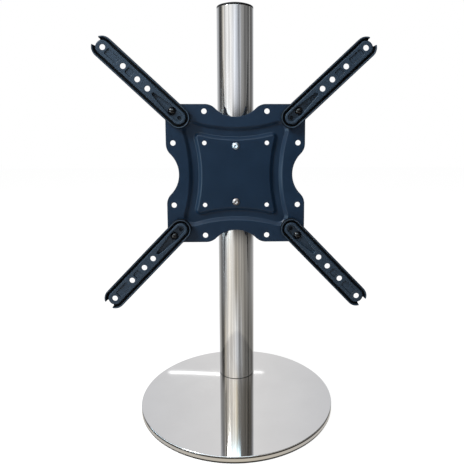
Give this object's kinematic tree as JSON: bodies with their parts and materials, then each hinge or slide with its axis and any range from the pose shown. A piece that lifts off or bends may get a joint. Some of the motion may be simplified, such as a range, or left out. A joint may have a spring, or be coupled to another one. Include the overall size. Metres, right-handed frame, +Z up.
{
  "type": "tabletop screen stand",
  "caption": "Tabletop screen stand: weighted round steel foot, round pole, pressed bolt plate and swinging arms for wider mounting patterns.",
  "frame": {"origin": "centre of the round foot, on the table", "axes": "+Z up, the screen side faces -Y, +X to the right of someone who faces the screen side"},
  "size_m": [0.4408, 0.3, 0.6366],
  "materials": {
    "foot_cover": "satin polished stainless sheet",
    "foot_weight": "plain steel plate, black primer",
    "foot_ring": "moulded rubber",
    "foot_screws": "zinc plated",
    "pole_plug": "turned steel",
    "pole_tube": "polished stainless",
    "pole_cap": "moulded, fine grain",
    "nut_bar": "zinc plated",
    "spacer": "zinc plated",
    "bolt_plate": "dark blue-black powder coat",
    "plate_screw": "bright zinc",
    "arm": "dark blue-black powder coat",
    "pivot_bolt": "gloss black",
    "slip_washer": "nylon",
    "back_washer": "zinc plated",
    "lock_nut": "zinc plated"
  },
  "bodies": {
    "stand": {"foot_cover": "foot_cover", "foot_weight": "foot_weight", "foot_ring": "foot_ring", "foot_screws": "foot_screws", "pole_plug": "pole_plug", "pole_tube": "pole_tube", "pole_cap": "pole_cap", "nut_bar": "nut_bar", "spacer_upper": "spacer", "spacer_lower": "spacer", "bolt_plate": "bolt_plate", "plate_screw_upper": "plate_screw", "plate_screw_lower": "plate_screw", "pivot_bolt_top_left": "pivot_bolt", "pivot_bolt_top_right": "pivot_bolt", "pivot_bolt_bottom_left": "pivot_bolt", "pivot_bolt_bottom_right": "pivot_bolt", "slip_washer_top_left": "slip_washer", "slip_washer_top_right": "slip_washer", "slip_washer_bottom_left": "slip_washer", "slip_washer_bottom_right": "slip_washer", "back_washer_top_left": "back_washer", "back_washer_top_right": "back_washer", "back_washer_bottom_left": "back_washer", "back_washer_bottom_right": "back_washer", "lock_nut_top_left": "lock_nut", "lock_nut_top_right": "lock_nut", "lock_nut_bottom_left": "lock_nut", "lock_nut_bottom_right": "lock_nut"},
    "arm_top_left": {"arm_top_left": "arm"},
    "arm_top_right": {"arm_top_right": "arm"},
    "arm_bottom_left": {"arm_bottom_left": "arm"},
    "arm_bottom_right": {"arm_bottom_right": "arm"}
  },
  "joints": [
    {"name": "arm_top_left_pivot", "type": "hinge", "parent": "stand", "child": "arm_top_left", "pos_m": [-0.1, 0.0375, 0.4626], "axis": [0, -1, 0], "range_deg": [-47, 43]},
    {"name": "arm_top_right_pivot", "type": "hinge", "parent": "stand", "child": "arm_top_right", "pos_m": [0.1, 0.0375, 0.4626], "axis": [0, -1, 0], "range_deg": [-43, 47]},
    {"name": "arm_bottom_left_pivot", "type": "hinge", "parent": "stand", "child": "arm_bottom_left", "pos_m": [-0.1, 0.0375, 0.2626], "axis": [0, -1, 0], "range_deg": [-46, 44]},
    {"name": "arm_bottom_right_pivot", "type": "hinge", "parent": "stand", "child": "arm_bottom_right", "pos_m": [0.1, 0.0375, 0.2626], "axis": [0, -1, 0], "range_deg": [-44, 46]}
  ]
}
